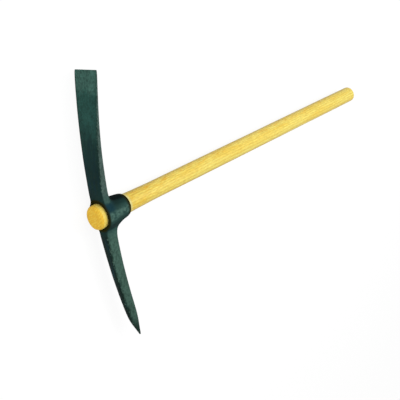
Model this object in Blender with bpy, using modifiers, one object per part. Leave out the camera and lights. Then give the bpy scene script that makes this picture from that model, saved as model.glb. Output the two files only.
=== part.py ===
"""A pick mattock: a forged head with a cutting blade and a point, on a slip-fit ash handle.

The head frame has its origin at the centre of the eye's outer mouth, where the handle's axis crosses
the outer face of the head. X runs along the handle towards the grip, Y towards the blade and Z out of
the flat side of the tool, which lies on its side as it would on the ground.
"""
import math
from dataclasses import dataclass

import bmesh
import bpy
from mathutils import Vector

# Blade (metres).
BLADE_REACH = 0.2735         # from the handle's axis to the cutting edge
BLADE_ROOT_WIDTH = 0.040
BLADE_EDGE_WIDTH = 0.063
BLADE_ROOT_THICKNESS = 0.0182
BLADE_EDGE_THICKNESS = 0.003
BLADE_HOOK = 0.034           # how far the cutting edge sweeps back towards the grip
BLADE_BEND = 1.78            # power of the sweep: 1 is a straight arm, 2 is bent evenly
BLADE_CORNER = 0.0026        # rounding along the forged edges
BLADE_EDGE_EASING = 0.0024   # rounding of the cutting edge's two corners

# Point.
POINT_REACH = 0.2765         # from the handle's axis to the tip
POINT_ROOT_WIDTH = 0.0254
POINT_ROOT_DEPTH = 0.0285
POINT_NOSE_WIDTH = 0.0133    # where the sharpened nose begins
POINT_NOSE_DEPTH = 0.0231
POINT_NOSE_LENGTH = 0.043
POINT_NOSE_SOFTNESS = 0.0085  # how far the break at the nose is rounded each way
POINT_TIP_SIZE = 0.003
POINT_TIP_SET = 0.53         # where the tip lies in the nose's depth: 0 is outside, 1 inside
POINT_HOOK = 0.0323
POINT_BEND = 1.76
POINT_CORNER = 0.0034

# Eye socket: an oval cone that reaches from the outer face towards the grip.
EYE_DEPTH = 0.0654
EYE_CLEARANCE = 0.0003       # all round, between the jammed handle and the bore
EYE_MOUTH_WALL = 0.0079      # steel round the bore at the outer face
EYE_THROAT_WALL = 0.0034     # steel round the bore at the rim towards the grip
EYE_MOUTH_ROUNDING = 0.0035
EYE_THROAT_ROUNDING = 0.003
BORE_MOUTH_FLARE = 0.0035
BORE_THROAT_FLARE = 0.0008
ARM_START = 0.026            # from the handle's axis to where the arms begin their sweep
CHEEK_FILLET = 0.014         # how far the cheeks run out along the sides of the arms
BLADE_CROTCH_FILLET = 0.012  # radius between the socket and the blade's inner face
POINT_CROTCH_FILLET = 0.0215

# Handle.
HANDLE_LENGTH = 0.900
HANDLE_STAND_OUT = 0.0145    # end that shows in front of the head
HANDLE_SHAFT_SIZE = 0.0372
HANDLE_GRIP_SIZE = 0.0378
HANDLE_END_HEIGHT = 0.0495   # oval swell in the eye's mouth, along Y
HANDLE_END_WIDTH = 0.0461
HANDLE_FLARE_LENGTH = 0.175
HANDLE_FLARE_POWER = 3       # how soon the swell dies away
HANDLE_END_ROUNDING = 0.008
HANDLE_GRIP_ROUNDING = 0.004

# Mesh fineness.
OVAL_SIDES = 44
BORE_ROWS = 8
SWELL_ROWS = 14
SHAFT_ROWS = 4
ROUNDING_STEPS = 5
CHEEK_COLUMNS = 6            # quads of a cheek, between the two arms
ARM_COLUMNS = 4              # quads of half a turn that lie behind the two arms
BLADE_ROWS = 4
POINT_ROWS = 3
NOSE_ROWS = 2
SOCKET_ROWS = 2
HEAD_SMOOTHING = 2
LARGEST_CORNER = 0.25        # share of a side that one rounded edge may take
LARGEST_FILLET = 0.85        # share of the room behind an arm that its fillet may take
CAP_SHARE = 0.8              # size of a mouth's inner cage ring, which keeps the rim's face flat
FILLET_RISE = 0.2            # share of a radius by which the cage leaves a corner to give that radius
CUTTER_MARGIN = 0.004
MERGE_DISTANCE = 0.00001

PAINT_GREEN = (0.035, 0.078, 0.070, 1.0)
PAINT_ROUGHNESS = 0.42
ASH_YELLOW = (0.760, 0.500, 0.085, 1.0)
ASH_ROUGHNESS = 0.38
NOT_METALLIC = 0.0           # both surfaces are a coat over what lies beneath


@dataclass(frozen=True)
class Arm:
    """One arm of the head, swept from the socket to its end."""

    side: int                # 1 on the blade's side of the handle, -1 on the point's
    reach: float
    root_width: float
    root_depth: float
    hook: float
    bend: float
    corner: float
    crotch: float            # radius of the fillet between the inner face and the socket

    def share_at(self, distance):
        """Share of the sweep at a distance from the handle's axis."""
        return max(0.0, (distance - ARM_START) / (self.reach - ARM_START))

    def outer_point(self, distance):
        """Place on the outer face, in the head's middle plane."""
        return Vector((self.hook * self.share_at(distance) ** self.bend, self.side * distance, 0))

    def inward(self, distance):
        """Direction from the outer face to the inner one, square to the sweep."""
        slope = self.hook * self.bend * self.share_at(distance) ** (self.bend - 1)
        return Vector((self.reach - ARM_START, -self.side * slope, 0)).normalized()

    def section(self, distance, width, depth, set_back=0.0):
        """Half a rounded rectangle across the arm, from its outer face round to its inner face."""
        half = width / 2
        corner = min(self.corner, width * LARGEST_CORNER, depth * LARGEST_CORNER)
        outline = ((0, 0), (0, half - corner), (corner, half))
        outline += ((depth - corner, half), (depth, half - corner), (depth, 0))
        start = self.outer_point(distance) + Vector((set_back, 0, 0))
        inward = self.inward(distance)
        return [start + inward * down + Vector((0, 0, aside)) for down, aside in outline]

    def root_loop(self):
        """Half the loop where the arm leaves the socket, in the order of a section."""
        half = self.root_width / 2
        face = socket_corner(self.side, 0, half - self.corner, EYE_MOUTH_ROUNDING)
        rise = self.crotch * FILLET_RISE
        lift = Vector((rise, self.side * rise, 0))
        return [
            Vector((0, face.y, 0)),
            face,
            socket_corner(self.side, EYE_MOUTH_ROUNDING, half),
            socket_corner(self.side, self.root_depth - self.corner, half) + lift,
            socket_corner(self.side, self.root_depth, half - self.corner) + lift,
            socket_corner(self.side, self.root_depth, 0) + lift,
        ]

    def crotch_end(self):
        """Distance from the handle's axis at which the inner face's fillet has run out."""
        return abs(socket_corner(self.side, self.root_depth, 0).y) + self.crotch

    def fillet_ends(self):
        """Distances from the handle's axis at which the cheek's and the inner face's fillets end."""
        valley = socket_corner(self.side, self.root_depth / 2, self.root_width / 2)
        cheek_end = abs(valley.y) + CHEEK_FILLET
        return [cheek_end, max(self.crotch_end(), cheek_end + CHEEK_FILLET / 2)]

    def crotch_lift(self, distance):
        """How far the round fillet lifts the inner face at a distance from the handle's axis."""
        left = min(max(self.crotch_end() - distance, 0.0), self.crotch)
        return self.crotch - math.sqrt(self.crotch**2 - left**2)


def clear_scene():
    """Removes every object of the open scene."""
    for item in list(bpy.data.objects):
        bpy.data.objects.remove(item, do_unlink=True)


def new_collection(name):
    """Makes a collection and links it to the scene."""
    group = bpy.data.collections.new(name)
    bpy.context.scene.collection.children.link(group)
    return group


def make_material(name, colour, roughness, metallic):
    """Makes a Principled material of one colour."""
    material = bpy.data.materials.new(name)
    material.use_nodes = True
    shader = material.node_tree.nodes["Principled BSDF"]
    shader.inputs["Base Color"].default_value = colour
    shader.inputs["Roughness"].default_value = roughness
    shader.inputs["Metallic"].default_value = metallic
    material.diffuse_color = colour
    return material


def object_from_bmesh(name, shape, group):
    """Turns a bmesh into a smooth shaded object of a collection."""
    bmesh.ops.recalc_face_normals(shape, faces=shape.faces)
    mesh = bpy.data.meshes.new(name)
    shape.to_mesh(mesh)
    shape.free()
    mesh.shade_smooth()
    item = bpy.data.objects.new(name, mesh)
    group.objects.link(item)
    return item


def mix(start, end, share):
    """Blends two numbers."""
    return start + (end - start) * share


def spaced(start, end, count):
    """Even steps from just past the start up to the end itself."""
    return [mix(start, end, (step + 1) / count) for step in range(count)]


def skin(shape, near, far, closed=False):
    """Joins two rows of vertices by a strip of quads."""
    count = len(near)
    for step in range(count if closed else count - 1):
        after = (step + 1) % count
        shape.faces.new((near[step], near[after], far[after], far[step]))


def add_row(shape, points):
    """Adds a row of vertices."""
    return [shape.verts.new(point) for point in points]


def oval_point(x, turn, semi_y, semi_z):
    """Point of an oval across the handle's axis, where a turn of 0 is towards the blade."""
    return Vector((x, semi_y * math.cos(turn), semi_z * math.sin(turn)))


def oval_ring(x, semi_axes, growth=0.0):
    """Points of an oval across the handle's axis."""
    semi_y, semi_z = semi_axes
    turns = [2 * math.pi * step / OVAL_SIDES for step in range(OVAL_SIDES)]
    return [oval_point(x, turn, semi_y + growth, semi_z + growth) for turn in turns]


def loft(name, rings, group):
    """Skins a row of equal rings and closes both ends."""
    shape = bmesh.new()
    loops = [add_row(shape, ring) for ring in rings]
    for near, far in zip(loops, loops[1:]):
        skin(shape, near, far, closed=True)
    shape.faces.new(loops[0])
    shape.faces.new(loops[-1])
    return object_from_bmesh(name, shape, group)


def handle_semi_axes(x):
    """Half height and half width of the handle at a distance along its axis.

    The swell in the eye dies away as a power, so it has no step where it meets the shaft.
    """
    inside = max(x, 0.0)
    swell = max(0.0, 1.0 - inside / HANDLE_FLARE_LENGTH) ** HANDLE_FLARE_POWER
    along = inside / (HANDLE_LENGTH - HANDLE_STAND_OUT)
    shaft = mix(HANDLE_SHAFT_SIZE, HANDLE_GRIP_SIZE, along) / 2
    swell_y = (HANDLE_END_HEIGHT - HANDLE_SHAFT_SIZE) / 2
    swell_z = (HANDLE_END_WIDTH - HANDLE_SHAFT_SIZE) / 2
    return shaft + swell_y * swell, shaft + swell_z * swell


def rounded_end(x_end, direction, rounding):
    """Sections of a handle end, from its flat face to where the rounding meets the side."""
    sections = []
    for step in range(ROUNDING_STEPS + 1):
        turn = math.pi / 2 * step / ROUNDING_STEPS
        x = x_end + direction * rounding * (1 - math.cos(turn))
        sections.append(oval_ring(x, handle_semi_axes(x), -rounding * (1 - math.sin(turn))))
    return sections


def make_handle(group):
    """The ash handle: an oval swell that jams in the eye, and a long, nearly even shaft."""
    grip = HANDLE_LENGTH - HANDLE_STAND_OUT
    swell = [0.0, *spaced(0.0, HANDLE_FLARE_LENGTH, SWELL_ROWS)]
    shaft = spaced(HANDLE_FLARE_LENGTH, grip, SHAFT_ROWS)[:-1]
    rings = rounded_end(-HANDLE_STAND_OUT, 1, HANDLE_END_ROUNDING)
    rings += [oval_ring(x, handle_semi_axes(x)) for x in swell + shaft]
    rings += reversed(rounded_end(grip, -1, HANDLE_GRIP_ROUNDING))
    return loft("handle", rings, group)


def make_bore_cutter(group):
    """The tapered oval bore: the handle's own section with the clearance all round."""
    inner_end = EYE_DEPTH - BORE_THROAT_FLARE
    stations = [BORE_MOUTH_FLARE, *spaced(BORE_MOUTH_FLARE, inner_end, BORE_ROWS)]
    mouth = EYE_CLEARANCE + BORE_MOUTH_FLARE
    throat = EYE_CLEARANCE + BORE_THROAT_FLARE
    rings = [oval_ring(-CUTTER_MARGIN, handle_semi_axes(0), mouth)]
    rings += [oval_ring(0, handle_semi_axes(0), mouth)]
    rings += [oval_ring(x, handle_semi_axes(x), EYE_CLEARANCE) for x in stations]
    rings += [oval_ring(EYE_DEPTH, handle_semi_axes(EYE_DEPTH), throat)]
    rings += [oval_ring(EYE_DEPTH + CUTTER_MARGIN, handle_semi_axes(EYE_DEPTH), throat)]
    cutter = loft("bore_cutter", rings, group)
    cutter.hide_render = True
    cutter.display_type = "WIRE"
    return cutter


def eye_semi_axes(x):
    """Outside half height and half width of the eye socket at a depth: the bore and its wall."""
    share = x / EYE_DEPTH
    mouth_y, mouth_z = handle_semi_axes(0)
    throat_y, throat_z = handle_semi_axes(EYE_DEPTH)
    around = EYE_CLEARANCE + mix(EYE_MOUTH_WALL, EYE_THROAT_WALL, share)
    return mix(mouth_y, throat_y, share) + around, mix(mouth_z, throat_z, share) + around


def socket_corner(side, x, aside, inset=0.0):
    """Point of the socket's side at a distance out of the head's middle plane."""
    semi_y, semi_z = eye_semi_axes(x)
    height = (semi_y - inset) * math.sqrt(max(0.0, 1 - (aside / (semi_z - inset)) ** 2))
    return Vector((x, side * height, aside))


def socket_turn(point):
    """Turn of a point of the socket, from the blade's side."""
    semi_y, semi_z = eye_semi_axes(point.x)
    return math.atan2(point.z / semi_z, point.y / semi_y)


def socket_point(x, turn, inset=0.0):
    """Cage point of the socket, set out so that the smoothed surface comes to the oval."""
    step = math.pi / (CHEEK_COLUMNS + ARM_COLUMNS)
    set_out = 6 / (4 + 2 * math.cos(step))
    semi_y, semi_z = eye_semi_axes(x)
    return oval_point(x, turn, (semi_y - inset) * set_out, (semi_z - inset) * set_out)


def crotch_radius(fillet, root_depth):
    """Radius of the fillet behind an arm, which the socket's length limits."""
    room = EYE_DEPTH - EYE_THROAT_ROUNDING - root_depth
    return min(fillet, room * LARGEST_FILLET)


def blade_arm():
    """The blade's sweep and root."""
    return Arm(
        side=1,
        reach=BLADE_REACH,
        root_width=BLADE_ROOT_WIDTH,
        root_depth=BLADE_ROOT_THICKNESS,
        hook=BLADE_HOOK,
        bend=BLADE_BEND,
        corner=BLADE_CORNER,
        crotch=crotch_radius(BLADE_CROTCH_FILLET, BLADE_ROOT_THICKNESS),
    )


def point_arm():
    """The point's sweep and root."""
    return Arm(
        side=-1,
        reach=POINT_REACH,
        root_width=POINT_ROOT_WIDTH,
        root_depth=POINT_ROOT_DEPTH,
        hook=POINT_HOOK,
        bend=POINT_BEND,
        corner=POINT_CORNER,
        crotch=crotch_radius(POINT_CROTCH_FILLET, POINT_ROOT_DEPTH),
    )


def blade_sections(blade):
    """Sections of the blade from the end of its fillet to the cutting edge with its eased corners."""
    ends = blade.fillet_ends()
    eased_from = BLADE_REACH - BLADE_EDGE_EASING
    sections = []
    for distance in [*ends, *spaced(ends[-1], eased_from, BLADE_ROWS), BLADE_REACH]:
        share = blade.share_at(distance)
        easing = max(0, distance - eased_from)
        width = mix(BLADE_ROOT_WIDTH, BLADE_EDGE_WIDTH, share) - easing * 2
        thickness = mix(BLADE_ROOT_THICKNESS, BLADE_EDGE_THICKNESS, share)
        thickness += blade.crotch_lift(distance)
        sections.append(blade.section(distance, width, thickness))
    return sections


def point_sections(point):
    """Sections of the point from the end of its fillet, past the sharpened nose, to the tip."""
    ends = point.fillet_ends()
    nose = POINT_REACH - POINT_NOSE_LENGTH
    softness = min(POINT_NOSE_SOFTNESS, POINT_NOSE_LENGTH / 2)
    stations = ends + spaced(ends[-1], nose - softness, POINT_ROWS)
    stations += [nose + softness, *spaced(nose + softness, POINT_REACH, NOSE_ROWS)]
    sections = []
    for distance in stations:
        taper = min(point.share_at(distance) / point.share_at(nose), 1)
        width = mix(POINT_ROOT_WIDTH, POINT_NOSE_WIDTH, taper)
        depth = mix(POINT_ROOT_DEPTH, POINT_NOSE_DEPTH, taper) + point.crotch_lift(distance)
        sharpened = max(0, distance - nose) / POINT_NOSE_LENGTH
        set_back = (depth * POINT_TIP_SET - POINT_TIP_SIZE / 2) * sharpened
        width = mix(width, POINT_TIP_SIZE, sharpened)
        depth = mix(depth, POINT_TIP_SIZE, sharpened)
        sections.append(point.section(distance, width, depth, set_back))
    return sections


def add_arm(shape, root, sections, crease):
    """Carries an arm out from its root loop and closes it with a crisp end."""
    near = root
    for section in sections:
        far = add_row(shape, section)
        skin(shape, near, far)
        near = far
    shape.faces.new(near)
    for start, end in zip(near, near[1:]):
        shape.edges.get((start, end))[crease] = 1.0


def add_cap(shape, rim, x):
    """Closes a mouth of the socket with a flat ring and a middle that the bore takes away."""
    inner = [Vector((x, vertex.co.y * CAP_SHARE, vertex.co.z * CAP_SHARE)) for vertex in rim]
    inner_row = add_row(shape, inner)
    skin(shape, rim, inner_row)
    shape.faces.new(inner_row)


def add_mouth(shape, blade_root, point_root):
    """The cheek beside the arms, and the outer mouth. Returns the cheek's innermost row."""
    start = socket_turn(blade_root[2].co)
    end = socket_turn(point_root[2].co)
    turns = spaced(start, end, CHEEK_COLUMNS)[:-1]
    depths = [mix(blade_root[3].co.x, point_root[3].co.x, turn / math.pi) for turn in turns]
    face = add_row(shape, [socket_point(0, turn, EYE_MOUTH_ROUNDING) for turn in turns])
    edge = add_row(shape, [socket_point(EYE_MOUTH_ROUNDING, turn) for turn in turns])
    back = add_row(shape, [socket_point(depth, turn) for depth, turn in zip(depths, turns)])
    face_row = [blade_root[1], *face, point_root[1]]
    edge_row = [blade_root[2], *edge, point_root[2]]
    back_row = [blade_root[3], *back, point_root[3]]
    skin(shape, face_row, edge_row)
    skin(shape, edge_row, back_row)
    add_cap(shape, [blade_root[0], *face_row, point_root[0]], 0)
    return back


def add_socket(shape, blade, blade_root, point, point_root):
    """The oval cone between the arms, from the outer mouth to the rim towards the grip."""
    cheek = add_mouth(shape, blade_root, point_root)
    near = [*reversed(blade_root[3:]), *cheek, *point_root[3:]]
    even_turns = [math.pi * column / (len(near) - 1) for column in range(len(near))]
    starts = []
    for vertex, even in zip(near, even_turns):
        crotch = mix(blade.crotch, point.crotch, even / math.pi)
        depth = mix(blade.root_depth, point.root_depth, even / math.pi)
        starts.append((depth, depth + crotch, socket_turn(vertex.co), even))
    side_end = EYE_DEPTH - EYE_THROAT_ROUNDING
    for step in range(SOCKET_ROWS + 1):
        row = []
        for depth, fillet_end, turn, even in starts:
            x = mix(fillet_end, side_end, step / SOCKET_ROWS)
            row.append(socket_point(x, mix(turn, even, (x - depth) / (side_end - depth))))
        far = add_row(shape, row)
        skin(shape, near, far)
        near = far
    rim = [socket_point(EYE_DEPTH, turn, EYE_THROAT_ROUNDING) for turn in even_turns]
    rim_row = add_row(shape, rim)
    skin(shape, near, rim_row)
    add_cap(shape, rim_row, EYE_DEPTH)


def make_head(group, cutter):
    """The forged head: a smoothed cage of the socket and both arms, with the bore cut through."""
    blade = blade_arm()
    point = point_arm()
    shape = bmesh.new()
    crease = shape.edges.layers.float.new("crease_edge")
    blade_root = add_row(shape, blade.root_loop())
    point_root = add_row(shape, point.root_loop())
    add_socket(shape, blade, blade_root, point, point_root)
    add_arm(shape, blade_root, blade_sections(blade), crease)
    add_arm(shape, point_root, point_sections(point), crease)
    head = object_from_bmesh("head", shape, group)

    mirror = head.modifiers.new("both flat sides", "MIRROR")
    mirror.use_axis = (False, False, True)
    mirror.merge_threshold = MERGE_DISTANCE
    smooth = head.modifiers.new("forged surface", "SUBSURF")
    smooth.levels = HEAD_SMOOTHING
    smooth.render_levels = HEAD_SMOOTHING
    bore = head.modifiers.new("tapered oval bore", "BOOLEAN")
    bore.operation = "DIFFERENCE"
    bore.solver = "EXACT"
    bore.object = cutter
    return head


def box_of(items):
    """Lowest and highest corner of some objects as the viewport evaluates them."""
    graph = bpy.context.evaluated_depsgraph_get()
    points = []
    for item in items:
        solid = item.evaluated_get(graph)
        points += [solid.matrix_world @ vertex.co for vertex in solid.data.vertices]
    low = Vector([min(point[axis] for point in points) for axis in range(3)])
    high = Vector([max(point[axis] for point in points) for axis in range(3)])
    return low, high


def stand_on_origin(frame, items):
    """Moves the head frame so that the middle of the tool's underside lies at the world's origin."""
    bpy.context.view_layer.update()
    low, high = box_of(items)
    frame.location = Vector((-(low.x + high.x) / 2, -(low.y + high.y) / 2, -low.z))


def main():
    """Builds the mattock."""
    clear_scene()
    parts = new_collection("mattock")
    cutters = new_collection("cutters")
    frame = bpy.data.objects.new("head_frame", None)
    parts.objects.link(frame)

    cutter = make_bore_cutter(cutters)
    head = make_head(parts, cutter)
    handle = make_handle(parts)
    paint = make_material("green_paint", PAINT_GREEN, PAINT_ROUGHNESS, NOT_METALLIC)
    ash = make_material("yellow_ash", ASH_YELLOW, ASH_ROUGHNESS, NOT_METALLIC)
    head.data.materials.append(paint)
    handle.data.materials.append(ash)
    for item in (head, handle, cutter):
        item.parent = frame
    stand_on_origin(frame, (head, handle))


main()
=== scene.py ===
"""Looks of a pick mattock: a green forged head on a yellow ash handle, in a plain pale studio.

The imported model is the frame. Head and handle are modelled again from the same sizes, finer and with
the slight unevenness of forging and shaving, and each stands for its own node and rides on its body.
Lengths are in metres. The head frame has its origin at the centre of the eye's outer mouth, X along
the handle towards the grip, Y towards the blade and Z out of the flat side that faces up.
"""

import logging
import math
from abc import ABC, abstractmethod
from dataclasses import dataclass
from enum import Enum
from typing import NamedTuple, Optional, Sequence, Union

import bmesh
import bpy
from mathutils import Matrix, Vector, noise


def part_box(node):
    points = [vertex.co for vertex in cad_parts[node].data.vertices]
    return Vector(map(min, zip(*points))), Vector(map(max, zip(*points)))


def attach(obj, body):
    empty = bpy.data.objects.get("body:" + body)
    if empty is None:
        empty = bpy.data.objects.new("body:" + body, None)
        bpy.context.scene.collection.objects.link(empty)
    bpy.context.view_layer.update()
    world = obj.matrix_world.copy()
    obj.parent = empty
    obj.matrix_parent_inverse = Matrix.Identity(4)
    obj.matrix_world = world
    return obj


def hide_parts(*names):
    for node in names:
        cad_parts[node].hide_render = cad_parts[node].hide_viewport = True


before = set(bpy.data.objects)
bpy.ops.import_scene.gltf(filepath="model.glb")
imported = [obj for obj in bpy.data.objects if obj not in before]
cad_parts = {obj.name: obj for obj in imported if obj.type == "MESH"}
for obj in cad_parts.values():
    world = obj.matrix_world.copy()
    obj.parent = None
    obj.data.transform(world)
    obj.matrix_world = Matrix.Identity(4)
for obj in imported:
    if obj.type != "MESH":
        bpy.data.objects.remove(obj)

log = logging.getLogger("mattock")

Colour = tuple[float, float, float]
Triple = tuple[float, float, float]
Span = tuple[float, float]
Socket = bpy.types.NodeSocket
Value = Union[Socket, float, tuple]
Given = dict[Union[str, int], Value]
Row = list[bmesh.types.BMVert]

PHOTO_PIXELS = 400
QUARTER_TURN = math.pi / 2
ACROSS: Triple = (0.0, 1.0, 1.0)
WHITE: Colour = (1.0, 1.0, 1.0)
UNIT: Span = (0.0, 1.0)
FALLING: Span = (1.0, 0.0)
# Places in the loop where an arm leaves the socket.
MIDDLE, FACE, EDGE, BACK = 0, 1, 2, 3
# Weight of a cage point against each of its neighbours, where a smoothed ring comes to rest.
OWN_WEIGHT = 4
# Sockets of a Mix node that blends colours.
MIX_SHARE, MIX_UNDER, MIX_OVER, MIX_RESULT = 0, 6, 7, 2


class Operation(Enum):
    """Sums that a Math node or a Vector Math node does."""

    ADD = "ADD"
    SUBTRACT = "SUBTRACT"
    MULTIPLY = "MULTIPLY"
    DIVIDE = "DIVIDE"
    ABSOLUTE = "ABSOLUTE"
    FRACTION = "FRACT"
    LARGER = "MAXIMUM"
    POWER = "POWER"
    LENGTH = "LENGTH"
    AGREEMENT = "DOT_PRODUCT"


class Blend(Enum):
    """Ways to lay one colour over another."""

    OVER = "MIX"
    MULTIPLY = "MULTIPLY"


class Side(Enum):
    """The two sides of the handle that an arm of the head can point to."""

    BLADE = 1
    POINT = -1


def mix(start: float, end: float, share: float) -> float:
    """Blends two numbers."""
    return start + (end - start) * share


def spaced(start: float, end: float, count: int) -> list[float]:
    """Even steps from just past the start up to the end itself."""
    return [mix(start, end, (step + 1) / count) for step in range(count)]


def opaque(colour: Colour) -> tuple[float, float, float, float]:
    """A colour with full cover."""
    return (*colour, 1.0)


def oval_point(x: float, turn: float, semi_y: float, semi_z: float) -> Vector:
    """Point of an oval across the handle's axis, where a turn of 0 is towards the blade."""
    return Vector((x, semi_y * math.cos(turn), semi_z * math.sin(turn)))


def dent(place: Vector) -> float:
    """Unevenness at a place, from 0 down to -1, so that a skin moves inwards only."""
    return (noise.noise(place) - 1) / 2


def add_row(made: bmesh.types.BMesh, points: Sequence[Vector]) -> Row:
    """Adds a row of vertices."""
    return [made.verts.new(point) for point in points]


def skin(made: bmesh.types.BMesh, near: Row, far: Row, closed: bool = False) -> None:
    """Joins two rows of vertices by a strip of quads.

    Args:
        made: The mesh in the making.
        near: One row of vertices.
        far: The other row, with as many.
        closed: Whether the rows are rings.
    """
    count = len(near)
    for step in range(count if closed else count - 1):
        after = (step + 1) % count
        made.faces.new((near[step], near[after], far[after], far[step]))


def loft(made: bmesh.types.BMesh, rings: Sequence[Sequence[Vector]]) -> list[Row]:
    """Skins rings one after another.

    Args:
        made: The mesh in the making.
        rings: The rings, all with as many points.

    Returns:
        The rings' vertices.
    """
    loops = [add_row(made, ring) for ring in rings]
    for near, far in zip(loops, loops[1:]):
        skin(made, near, far, closed=True)
    return loops


def object_from_bmesh(name: str, made: bmesh.types.BMesh) -> bpy.types.Object:
    """Turns a mesh in the making into an object of the scene.

    Args:
        name: The object's name.
        made: The mesh in the making, which is freed.

    Returns:
        The new object, with its faces pointing out.
    """
    bmesh.ops.recalc_face_normals(made, faces=made.faces)
    mesh = bpy.data.meshes.new(name)
    made.to_mesh(mesh)
    made.free()
    item = bpy.data.objects.new(name, mesh)
    bpy.context.scene.collection.objects.link(item)
    return item


def apply_modifiers(item: bpy.types.Object) -> None:
    """Replaces an object's mesh by its evaluated one and drops its modifiers.

    Args:
        item: The object.
    """
    graph = bpy.context.evaluated_depsgraph_get()
    graph.update()
    mesh = bpy.data.meshes.new_from_object(item.evaluated_get(graph))
    old = item.data
    item.modifiers.clear()
    item.data = mesh
    bpy.data.meshes.remove(old)


class Axes(NamedTuple):
    """The three parts of a place or a direction in the head frame."""

    grip: Socket
    blade: Socket
    up: Socket


class ShaderSheet:
    """A node tree, with short calls to add nodes and join them."""

    def __init__(self, tree: bpy.types.NodeTree) -> None:
        """Keeps the tree that the calls add to."""
        self.tree = tree

    def feed(self, value: Value, socket: Socket) -> None:
        """Sets a socket to a plain value, or links another socket to it.

        Args:
            value: The plain value or the other socket.
            socket: The socket that takes it.
        """
        if isinstance(value, Socket):
            self.tree.links.new(value, socket)
        else:
            socket.default_value = value

    def fill(self, node: bpy.types.Node, given: Given) -> bpy.types.Node:
        """Feeds a node's inputs.

        Args:
            node: The node.
            given: What its inputs are fed, by name or place.

        Returns:
            The node.
        """
        for key, value in given.items():
            self.feed(value, node.inputs[key])
        return node

    def add(self, kind: str, given: Optional[Given] = None, **settings: object) -> bpy.types.Node:
        """Adds a node.

        Args:
            kind: The node's type.
            given: What its inputs are fed, by name or place.
            settings: Its own properties, by name.

        Returns:
            The node.
        """
        node = self.tree.nodes.new(kind)
        for name, value in settings.items():
            setattr(node, name, value)
        return self.fill(node, given or {})

    def math(self, operation: Operation, first: Value, *others: Value) -> Socket:
        """Does a sum on one value, or on several in turn.

        Args:
            operation: The sum.
            first: The first value.
            others: The values that follow.

        Returns:
            The result.
        """
        result = first
        for other in others or (0.0,):
            node = self.add("ShaderNodeMath", {0: result, 1: other}, operation=operation.value)
            result = node.outputs[0]
        return result

    def times(self, *values: Value) -> Socket:
        """Multiplies values."""
        return self.math(Operation.MULTIPLY, *values)

    def plus(self, *values: Value) -> Socket:
        """Adds values up."""
        return self.math(Operation.ADD, *values)

    def minus(self, *values: Value) -> Socket:
        """Takes the other values from the first."""
        return self.math(Operation.SUBTRACT, *values)

    def larger(self, *values: Value) -> Socket:
        """The largest of some values."""
        return self.math(Operation.LARGER, *values)

    def absolute(self, value: Value) -> Socket:
        """A value without its sign."""
        return self.math(Operation.ABSOLUTE, value)

    def mapped(self, value: Value, span: Sequence[Value], onto: Span, soft: bool = False) -> Socket:
        """Maps a value from one range onto another.

        Args:
            value: The value.
            span: The range that it comes in.
            onto: The range that it leaves in, and never passes.
            soft: Whether it sets off and arrives softly.

        Returns:
            The mapped value.
        """
        shape = "SMOOTHSTEP" if soft else "LINEAR"
        given = dict(enumerate((value, *span, *onto)))
        return self.add("ShaderNodeMapRange", given, interpolation_type=shape).outputs["Result"]

    def ramp(self, value: Value, span: Sequence[Value]) -> Socket:
        """Soft step of a value, from 0 at a span's start to 1 at its end."""
        return self.mapped(value, span, UNIT, soft=True)

    def share(self, value: Value, span: Span) -> Socket:
        """How far a value has come along a span, in even steps."""
        return self.mapped(value, span, UNIT)

    def between(self, value: Value, span: Span) -> Socket:
        """Spreads a value of 0 to 1 over a span."""
        return self.mapped(value, UNIT, span)

    def colour(self, share: Value, under: Value, over: Value, blend: Blend = Blend.OVER) -> Socket:
        """Lays one colour over another.

        Args:
            share: How much of the upper colour shows.
            under: The lower colour.
            over: The upper colour.
            blend: How the two are laid together.

        Returns:
            The blended colour.
        """
        given: Given = {MIX_SHARE: share}
        for place, tone in ((MIX_UNDER, under), (MIX_OVER, over)):
            given[place] = tone if isinstance(tone, Socket) else opaque(tone)
        node = self.add("ShaderNodeMix", given, data_type="RGBA", blend_type=blend.value)
        return node.outputs[MIX_RESULT]

    def shaded(self, tone: Socket, shade: Socket) -> Socket:
        """Makes a colour darker or lighter by a factor."""
        grey = self.add("ShaderNodeCombineColor", {0: shade, 1: shade, 2: shade})
        return self.colour(1.0, tone, grey.outputs[0], Blend.MULTIPLY)

    def vector(self, operation: Operation, first: Value, *second: Value) -> bpy.types.Node:
        """Does a sum on one or two places or directions, and returns its node."""
        given = dict(enumerate((first, *second)))
        return self.add("ShaderNodeVectorMath", given, operation=operation.value)

    def stretched(self, vector: Socket, stretch: Value) -> Socket:
        """Multiplies a place by a factor for each axis."""
        return self.vector(Operation.MULTIPLY, vector, stretch).outputs["Vector"]

    def length(self, vector: Socket) -> Socket:
        """Length of a vector."""
        return self.vector(Operation.LENGTH, vector).outputs["Value"]

    def agreement(self, vector: Socket, direction: Triple) -> Socket:
        """How far a direction agrees with a given one, from -1 to 1."""
        return self.vector(Operation.AGREEMENT, vector, direction).outputs["Value"]

    def parts(self, vector: Socket) -> Axes:
        """Splits a place or a direction into its three parts."""
        return Axes(*self.add("ShaderNodeSeparateXYZ", {0: vector}).outputs)

    def effect(self, group: bpy.types.NodeTree, **values: Value) -> Socket:
        """Places a shared effect, with its inputs' values by name, and returns its mask."""
        given = {name.capitalize(): value for name, value in values.items()}
        return self.add("ShaderNodeGroup", given, node_tree=group).outputs[0]


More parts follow.
